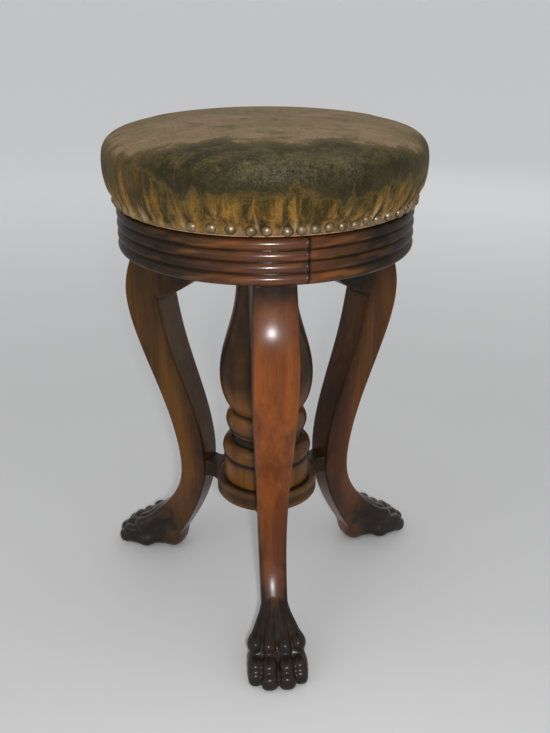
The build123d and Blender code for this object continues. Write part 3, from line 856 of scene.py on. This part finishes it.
def add_stretchers():
    """The short blocks between the round board and the legs, with softened edges."""
    cell = 0.9
    low = np.array([48, -18, disc_bottom - 3])
    axes = [start + cell * np.arange(int(size / cell) + 1) for start, size in zip(low, (28, 36, 26))]
    x, y, z = np.meshgrid(*axes, indexing="ij")
    middle, half_height = (disc_bottom + disc_top) / 2, (disc_top - disc_bottom) / 2
    half_width = 11 + 4.5 * ease(64, 52, x) + 1.5 * ease(66, 72, x)
    field = rounded_overlap(np.abs(y) - half_width, np.abs(z - middle) - half_height, 1.6)
    field = np.maximum(field, x - 72.4)
    field = np.maximum(field, 54.4 - np.hypot(x, y))
    points, quads = skin(field, low, cell)
    for number, (name, turn) in enumerate(leg_turns.items()):
        grain = points[:, [1, 2, 0]] + 900 * (number + 1)
        layers = dressed(points, quads, 6, 1, grain, 0.3, 0.9, 0.97)
        turned = turned_about_z(points, turn)
        add_piece("stretcher_block_" + name, turned, quads, ["stretcher_" + name], layers)


def applied(piece):
    """Applies a piece's modifiers, and gives its points in millimetres and its quads."""
    graph = bpy.context.evaluated_depsgraph_get()
    mesh = bpy.data.meshes.new_from_object(piece.evaluated_get(graph))
    piece.modifiers.clear()
    piece.data = mesh
    points = np.empty(len(mesh.vertices) * 3)
    mesh.vertices.foreach_get("co", points)
    return points.reshape(-1, 3) / mm, np.array([tuple(face.vertices) for face in mesh.polygons])


def cover_blank():
    """The closed, smooth form that the cover swells from."""
    line = smooth_line(cover_line, 90)
    line[:, 0] = np.maximum(line[:, 0] - swell_inset * ease(2, 14, line[:, 1]), 0)
    line[:, 1] -= swell_inset * ease(40, 70, line[:, 1])
    steps = 160
    turns = np.linspace(0, math.tau, steps, endpoint=False)
    radius, height = line[:-1].T
    points = np.stack([
        np.outer(radius, np.cos(turns)), np.outer(radius, np.sin(turns)),
        np.tile((seat_bottom + height)[:, None], (1, steps)),
    ], axis=2).reshape(-1, 3)
    top = len(points)
    last = top - steps
    faces = []
    for a in range(0, last, steps):
        b = a + steps
        for i in range(steps):
            j = (i + 1) % steps
            faces.append((a + i, a + j, b + j, b + i))
    faces += [(last + i, last + (i + 1) % steps, top) for i in range(steps)]
    faces.append(tuple(range(steps))[::-1])
    return np.vstack([points, [(0, 0, seat_bottom + line[-1, 1])]]), faces


def swollen_cover():
    """Points and quads of the cover, swollen over its held hem by a cloth simulation."""
    blank = new_object("cover_blank", new_mesh("cover_blank", *cover_blank()))
    remesh = blank.modifiers.new("even_cells", "REMESH")
    remesh.mode = "VOXEL"
    remesh.voxel_size = swell_cell * mm
    start, quads = applied(blank)
    held = blank.vertex_groups.new(name="held")
    low = np.flatnonzero(start[:, 2] < seat_bottom + held_height)
    held.add(low.tolist(), 1, "REPLACE")
    cloth = blank.modifiers.new("swell", "CLOTH")
    cloth.settings.vertex_group_mass = held.name
    cloth.settings.use_pressure = True
    cloth.settings.uniform_pressure_force = swell_pressure
    cloth.settings.shrink_min = -swell_growth
    cloth.settings.effector_weights.gravity = 0
    cloth.point_cache.frame_start = 1
    cloth.point_cache.frame_end = swell_frames
    for number in range(1, swell_frames + 1):
        scene.frame_set(number)
    end, _ = applied(blank)
    normal = normals_of(start, quads)
    out = np.clip(((end - start) * normal).sum(axis=1), -swell_sink, swell_rise)
    calm = Net(len(start), quads).smooth(start + out[:, None] * normal, swell_smoothing)
    blank.data.vertices.foreach_set("co", (calm * mm).ravel())
    blank.data.update()
    scene.frame_set(1)
    blank.modifiers.new("finer", "SUBSURF").levels = 2
    result = applied(blank)
    bpy.data.objects.remove(blank)
    return result


def filled_out(points):
    """The cover's points, with those that lie inside its half outline moved out to it, above the hem."""
    line = smooth_line(cover_line, 300)
    way = np.gradient(line, axis=0)
    outward = np.stack([way[:, 1], -way[:, 0]], axis=1) / np.linalg.norm(way, axis=1)[:, None]
    line = line - fill_margin * outward
    x, y, z = points.T
    radius = np.hypot(x, y)
    place = np.stack([radius, z - seat_bottom], axis=1)
    move = np.zeros(place.shape)
    chunk = 20000
    for begin in range(0, len(place), chunk):
        part = place[begin:begin + chunk]
        gap = line - part[:, None]
        nearest = (gap**2).sum(axis=2).argmin(axis=1)
        to_line = gap[np.arange(len(part)), nearest]
        depth = (to_line * outward[nearest]).sum(axis=1)
        push = (depth + np.hypot(depth, fill_softness)) / 2
        move[begin:begin + chunk] = push[:, None] * outward[nearest]
    move *= ease(9, 18, place[:, 1])[:, None]
    scale = (radius + move[:, 0]) / np.maximum(radius, 1e-6)
    return np.stack([x * scale, y * scale, z + move[:, 1]], axis=1)


def gathers(turn, height, rng):
    """Outward move of the gathered side at turns and heights above the hem, with painted highlights on
    its folds and painted shade in its creases and above the nails, and its flame.
    """
    stops = sorted(t % 360 for t in nail_turns)
    lost = max((b - a, a) for a, b in zip(stops, stops[1:] + [stops[0] + 360]))
    bare = [lost[1] + lost_nail_step * k for k in range(1, int(lost[0] / lost_nail_step))]
    pins = np.array(sorted([t % 360 for t in bare] + stops))
    gaps = (np.roll(pins, -1) - pins) % 360
    arc = math.tau * hem_radius / 360
    move, fold_light_and_shade, flame = np.zeros((3, len(turn)))

    def offset(centre):
        return ((turn - centre + 180) % 360 - 180) * arc

    def slant(base):
        return 9 * ease(275, 320, base) * ease(372, 345, base)

    low = ease(-6, 3, height)
    for number in range(fold_count):
        base = 360 * (number + rng.uniform(-0.35, 0.35)) / fold_count
        tall = rng.uniform(28, 58)
        rise = np.clip(height / tall, 0, 1.3)
        off = offset(base + (slant(base) + rng.normal(0, 1.6)) * rise * tall / 40)
        fade = ease(1, 0.2, rise) * low
        width = rng.uniform(3.4, 6)
        size = rng.uniform(0.6, 1.7)
        fold = bell(off / width) * fade
        crease = bell((off - 1.5 * width) / (0.4 * width)) * fade
        move += size * (fold - 0.8 * crease)
        # Painted highlight on the fold, painted shade in the crease beside it
        fold_light_and_shade += 0.16 * fold - 0.4 * crease
        tongue = bell(off / (1.9 * width * (1.2 - 0.8 * rise))) * ease(1.2, 0.45, rise)
        flame = np.maximum(flame, rng.uniform(0.4, 1) * tongue)
    for pin, gap in zip(pins, gaps):
        pleats = 2 if gap * arc > 11.5 else 1
        for pleat in range(pleats):
            share = (pleat + 0.5 + rng.uniform(-0.14, 0.14)) / pleats
            base = pin + gap * share
            tall = rng.uniform(10, 30) + 0.9 * slant(base)
            rise = np.clip((height - 2) / tall, 0, 1)
            off = offset(base + (0.6 * slant(base) + rng.normal(0, 1.5)) * rise * tall / 22)
            width = rng.uniform(2.8, 5.2) * (1 - 0.75 * rise)
            ridge = bell(off / width) * (1 - rise) ** 0.7 * low
            size = rng.uniform(0.5, 1)
            move += 1.9 * size * ridge
            # Painted highlight along each pleat
            fold_light_and_shade += 0.85 * size * ridge
    for pin in stops:
        off = offset(pin)
        move -= 1.9 * bell(off / 4.8) * bell((height - nail_rise) / 5.8)
        # Painted shade just above each nail
        fold_light_and_shade -= 0.45 * bell(off / 4.4) * bell((height - nail_rise - 6) / 4.5)
    return move, np.clip(fold_light_and_shade * ease(0.5, 7, height), -1, 1), flame


def add_cover():
    """The velvet cover: swollen, filled out, then gathered to its nailed hem."""
    points, faces = swollen_cover()
    points = filled_out(points)
    radius, turn = polar(points)
    height = points[:, 2] - seat_bottom
    side = ease(118, 140, radius)
    move, fold_light_and_shade, flame = gathers(turn, height, np.random.default_rng(11))
    levels = np.arange(0, held_height, 0.75)
    rims = [radius[np.abs(height - level) < 0.6].max() for level in levels]
    lack = np.maximum(hem_radius + 0.9 - np.interp(height, levels, rims), 0)
    shift = move * side * ease(0, 2.5, height) + lack * ease(96, 140, radius)
    points[:, :2] *= ((radius + shift) / np.maximum(radius, 1e-6))[:, None]
    points[:, 2] = np.maximum(points[:, 2], seat_bottom + 0.02)
    # A band of painted shade on the pile, strongest along the front shoulder where the pile is seen
    # head-on, fainter and wavy around the back
    climb = height + np.maximum(seat_radius - radius, 0)
    around = ease(214, 226, turn) * ease(362, 344, turn)
    behind = 0.35 + 0.3 * wave(2, turn, 40) + 0.2 * wave(5, turn)
    strength = np.maximum(around, np.clip(behind, 0, 0.8))
    forward = np.clip(-wave(1, turn), 0, 1)
    edge = np.clip(104 / np.maximum(forward, 1e-3), 104, 143)
    upper = seat_radius - edge + np.interp(edge, [104, 130, 143], [72.4, 66.8, 61.5])
    upper = upper - 3 + 8 * wave(6, turn, 80) + 6 * wave(15, turn)
    lower = 35 + 9 * ease(250, 226, turn) + 5 * wave(7, turn) + 4 * wave(13, turn, 50)
    painted_pile_shade = ease(lower - 18, lower + 18, climb) * ease(upper + 20, upper - 20, climb)
    front_edge = bell((turn - 270) / 14) + 0.6 * bell((turn - 294) / 7)
    rubbed = front_edge * ease(40, 54, climb) * ease(92, 68, climb)
    layers = {
        "fold_light_and_shade": fold_light_and_shade * side,
        "lick": flame * side,
        "painted_pile_shade": strength * painted_pile_shade,
        "crown": ease(48, 70, climb),
        "rubbed": np.clip(rubbed, 0, 1),
        "hem": ease(8, 2, height) * side,
        "blush": bell((turn - 270) / 9),
    }
    replaced = ["seat_cover", "seat_stuffing"]
    cover = add_piece("velvet_cover", points, faces, replaced, layers, "seat", "velvet")


def add_nails():
    """The dome nails, each set a little out of true."""
    rng = np.random.default_rng(5)
    tip = 3.5
    dome = [
        (1.4, 3.36), (2.7, 2.9), (3.8, 2.15), (4.55, 1.25),
        (4.95, 0.35), (5, -0.3), (4.7, -0.7), (3.4, -0.7),
    ]
    steps = 28
    spin = np.linspace(0, math.tau, steps, endpoint=False)
    rings = [(out, radius * math.cos(a), radius * math.sin(a)) for radius, out in dome for a in spin]
    one = np.array([(tip, 0, 0)] + rings)
    faces = [(0, 1 + i, 1 + (i + 1) % steps) for i in range(steps)]
    last = len(one) - steps
    for a in range(1, last, steps):
        b = a + steps
        faces += [(a + i, b + i, b + (i + 1) % steps, a + (i + 1) % steps) for i in range(steps)]
    faces.append(tuple(range(last, len(one)))[::-1])
    points, all_faces = [], []
    for turn in nail_turns:
        size = rng.uniform(0.95, 1.05)
        tilt, yaw = rng.normal(0, 0.07, 2)
        nail = one * size
        nail[:, 0] = nail[:, 0] + tilt * nail[:, 2] + yaw * nail[:, 1]
        nail += (hem_radius + nail_proud, 0, seat_bottom + nail_rise + rng.normal(0, 0.55))
        offset = len(points) * len(one)
        points.append(turned_about_z(nail, turn + rng.normal(0, 0.25)))
        all_faces += [tuple(offset + i for i in face) for face in faces]
    add_piece("dome_nails", np.vstack(points), all_faces, ["cover_nails"], {}, "seat", "brass")


def dress_nodes():
    """Gives every CAD node its slot's material."""
    for row in frame["record"]["subparts"]:
        mesh = frame["nodes"][row["node"]].data
        mesh.materials.clear()
        mesh.materials.append(materials[row["material_slot"]])


def add_floor():
    """The pale floor that the stool stands on."""
    corners = 60000 * np.array([(-1, -1, 0), (1, -1, 0), (1, 1, 0), (-1, 1, 0)])
    mesh = new_mesh("floor", corners, [(0, 1, 2, 3)])
    mesh.materials.append(pale_floor())
    floor = new_object("floor", mesh)


def add_light(name, place, size, power):
    """A round soft light that faces the middle of the stool, with its place and size in metres."""
    lamp = bpy.data.lights.new(name, "AREA")
    lamp.shape = "DISK"
    lamp.size = size
    lamp.energy = power
    light = new_object(name, lamp)
    light.location = place
    x, y, z = np.array([0, 0, 0.3]) - place
    light.rotation_euler = (math.acos(-z / math.hypot(x, y, z)), 0, math.atan2(y, x) - math.pi / 2)


def add_lighting():
    """A flash by the camera, three large soft lights and an even pale surround."""
    add_light("flash", (-0.01, -0.87, 0.61), 0.045, 4.2)
    add_light("top_light", (0.2, -0.2, 1.9), 1.6, 1.5)
    add_light("left_light", (-1.5, -1, 1), 1.1, 2.5)
    add_light("back_light", (0.7, 1.9, 1.3), 1.4, 3)
    world = bpy.data.worlds.new("surround")
    scene.world = world
    world.use_nodes = True
    background = world.node_tree.nodes["Background"]
    background.inputs["Color"].default_value = (0.98, 0.985, 1, 1)
    background.inputs["Strength"].default_value = 0.6
    scene.view_settings.view_transform = "Standard"


def add_camera():
    """The camera, where the photo was taken from, in metres."""
    data = bpy.data.cameras.new("camera")
    data.lens = 43.22
    data.sensor_width = 36
    camera = new_object("camera", data)
    camera.location = (-0.0490, -0.8536, 0.6398)
    camera.rotation_euler = (math.radians(66.132), 0, math.radians(-3.91))
    scene.camera = camera


# The material of each slot
materials = {
    "mahogany": mahogany(),
    "inner_wood": plain_wood(),
    "iron": metal("dark_iron", (0.045, 0.042, 0.04), (0.13, 0.12, 0.11), 0.38, 0.62, 0.85, 90),
    "steel": metal("dull_steel", (0.26, 0.255, 0.25), (0.46, 0.45, 0.44), 0.32, 0.5, 1, 120),
    "brass": metal("antique_brass", (0.13, 0.092, 0.045), (0.33, 0.245, 0.15), 0.3, 0.5, 0.85, 160),
    "stuffing": stuffing_fibre(),
    "velvet": velvet(),
}
add_camera()
add_lighting()
add_floor()
dress_nodes()
add_legs()
add_column()
add_disc()
add_ring()
add_stretchers()
add_cover()
add_nails()
